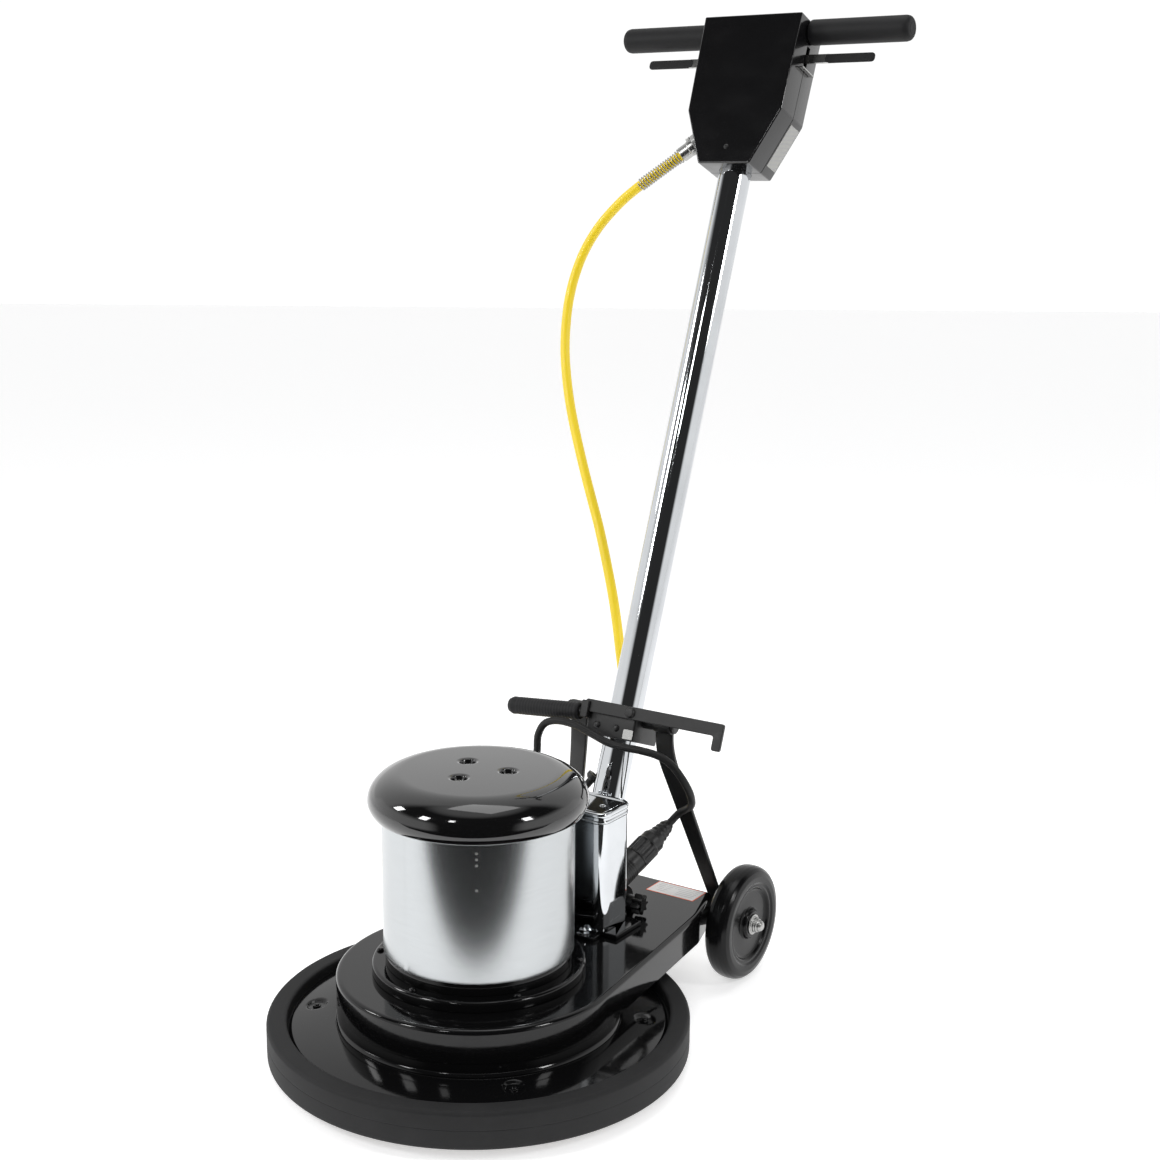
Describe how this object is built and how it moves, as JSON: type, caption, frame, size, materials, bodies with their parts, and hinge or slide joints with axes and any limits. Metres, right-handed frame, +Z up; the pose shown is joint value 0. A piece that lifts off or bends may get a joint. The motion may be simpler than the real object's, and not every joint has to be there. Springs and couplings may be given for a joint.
{
  "type": "high speed floor burnisher",
  "caption": "Walk-behind floor burnisher: round pad head, upright motor, two transport wheels and a chromed T handle that tilts back.",
  "frame": {"origin": "centre of the polishing pad on the floor, on the motor axis", "axes": "+Z up; +X towards the right grip seen by the operator facing the machine from the front; +Y from the pad towards the wheels and the operator"},
  "size_m": [0.7575, 0.9027, 1.2155],
  "materials": {
    "bumper_rubber": "matte moulded rubber",
    "grip_rubber": "fine ribbed rubber",
    "wheel_rubber": "solid rubber",
    "gloss_black_paint": "high gloss",
    "satin_black_paint": "satin",
    "brushed_stainless": "vertical brushed grain",
    "chrome_plate": "mirror polish",
    "zinc_steel": "zinc plated",
    "cast_aluminium": "as cast",
    "copper_windings": null,
    "brass": "plain",
    "carbon": null,
    "pad_fibre": "non-woven fibre",
    "black_plastic": "moulded",
    "red_plastic": "moulded",
    "yellow_jacket": "smooth cord jacket"
  },
  "bodies": {
    "chassis": {"bumper_ring": "bumper_rubber", "apron": "gloss_black_paint", "chassis_housing": "gloss_black_paint", "motor_flange": "gloss_black_paint", "dome_cap": "gloss_black_paint", "lower_end_bell": "satin_black_paint", "upper_end_bell": "satin_black_paint", "handle_yoke": "satin_black_paint", "motor_shroud": "brushed_stainless", "terminal_box": "chrome_plate", "terminal_box_lid": "chrome_plate", "pivot_bolt": "chrome_plate", "lower_bearing": "zinc_steel", "upper_bearing": "zinc_steel", "field_frame": "zinc_steel", "axle": "zinc_steel", "axle_nut_left": "zinc_steel", "axle_nut_right": "zinc_steel", "dome_screw_1": "zinc_steel", "dome_screw_2": "zinc_steel", "dome_screw_3": "zinc_steel", "rectifier": "cast_aluminium", "brush_holder_left": "brass", "brush_holder_right": "brass", "carbon_brush_left": "carbon", "carbon_brush_right": "carbon", "inlet_socket": "black_plastic", "lead_connector": "black_plastic", "motor_lead": "black_plastic", "cord_plug": "black_plastic", "cord_coil": "yellow_jacket"},
    "rotor": {"burnishing_pad": "pad_fibre", "pad_driver": "black_plastic", "pad_lock": "red_plastic", "drive_hub": "cast_aluminium", "armature_shaft": "zinc_steel", "cooling_fan": "cast_aluminium", "armature_core": "copper_windings", "commutator": "copper_windings"},
    "wheel_left": {"wheel_left": "wheel_rubber"},
    "wheel_right": {"wheel_right": "wheel_rubber"},
    "brace": {"brace_strut_left": "satin_black_paint", "brace_strut_right": "satin_black_paint"},
    "knob": {"star_knob": "black_plastic"},
    "handle": {"handle_tube": "chrome_plate", "cross_bar": "zinc_steel", "hand_grip_left": "grip_rubber", "hand_grip_right": "grip_rubber", "switch_case_front": "gloss_black_paint", "switch_case_rear": "gloss_black_paint", "power_switch": "black_plastic", "cord_gland": "zinc_steel", "cord_spring": "zinc_steel", "power_cord": "yellow_jacket"},
    "clamp": {"clamp_bracket": "satin_black_paint"},
    "lever": {"release_lever": "satin_black_paint", "lever_grip": "grip_rubber"},
    "trigger_left": {"trigger_left": "satin_black_paint"},
    "trigger_right": {"trigger_right": "satin_black_paint"},
    "lock_button": {"lock_button": "red_plastic"}
  },
  "joints": [
    {"name": "rotor_spin", "type": "hinge", "parent": "chassis", "child": "rotor", "pos_m": [0, 0, 0], "axis": [0, 0, 1], "continuous": true},
    {"name": "wheel_left_roll", "type": "hinge", "parent": "chassis", "child": "wheel_left", "pos_m": [-0.147, 0.362, 0.075], "axis": [1, 0, 0], "continuous": true},
    {"name": "wheel_right_roll", "type": "hinge", "parent": "chassis", "child": "wheel_right", "pos_m": [0.147, 0.362, 0.075], "axis": [1, 0, 0], "continuous": true},
    {"name": "knob_turn", "type": "hinge", "parent": "chassis", "child": "knob", "pos_m": [0.07, 0.23, 0.126], "axis": [1, 0, 0], "range_deg": [0, 360]},
    {"name": "handle_tilt", "type": "hinge", "parent": "chassis", "child": "handle", "pos_m": [0, 0.23, 0.126], "axis": [-1, 0, 0], "range_deg": [0, 25]},
    {"name": "brace_swing", "type": "hinge", "parent": "chassis", "child": "brace", "pos_m": [0, 0.362, 0.075], "axis": [-1, 0, 0], "range_deg": [0, 27.7]},
    {"name": "clamp_slide", "type": "slide", "parent": "handle", "child": "clamp", "axis": [0, 0.3483, 0.9374], "range_m": [0, 0.067]},
    {"name": "lever_release", "type": "hinge", "parent": "clamp", "child": "lever", "pos_m": [0.028, 0.30987, 0.34092], "axis": [0, 0.9374, -0.3483], "range_deg": [0, 20]},
    {"name": "trigger_left_squeeze", "type": "hinge", "parent": "handle", "child": "trigger_left", "pos_m": [-0.058, 0.61333, 1.15758], "axis": [0, 0.9374, -0.3483], "range_deg": [0, 7], "stiffness_Nm_per_rad": 1.5, "springref_deg": -8.59},
    {"name": "trigger_right_squeeze", "type": "hinge", "parent": "handle", "child": "trigger_right", "pos_m": [0.058, 0.61333, 1.15758], "axis": [0, -0.9374, 0.3483], "range_deg": [0, 7], "stiffness_Nm_per_rad": 1.5, "springref_deg": -8.59},
    {"name": "lock_button_press", "type": "slide", "parent": "handle", "child": "lock_button", "axis": [0, -0.9374, 0.3483], "range_m": [0, 0.004], "stiffness_N_per_m": 400, "springref_m": -0.002}
  ],
  "couplings": [
    {"joint": "brace_swing", "follows": "handle_tilt", "ratio": 1.103},
    {"joint": "clamp_slide", "follows": "handle_tilt", "m_per_rad": 0.153}
  ]
}
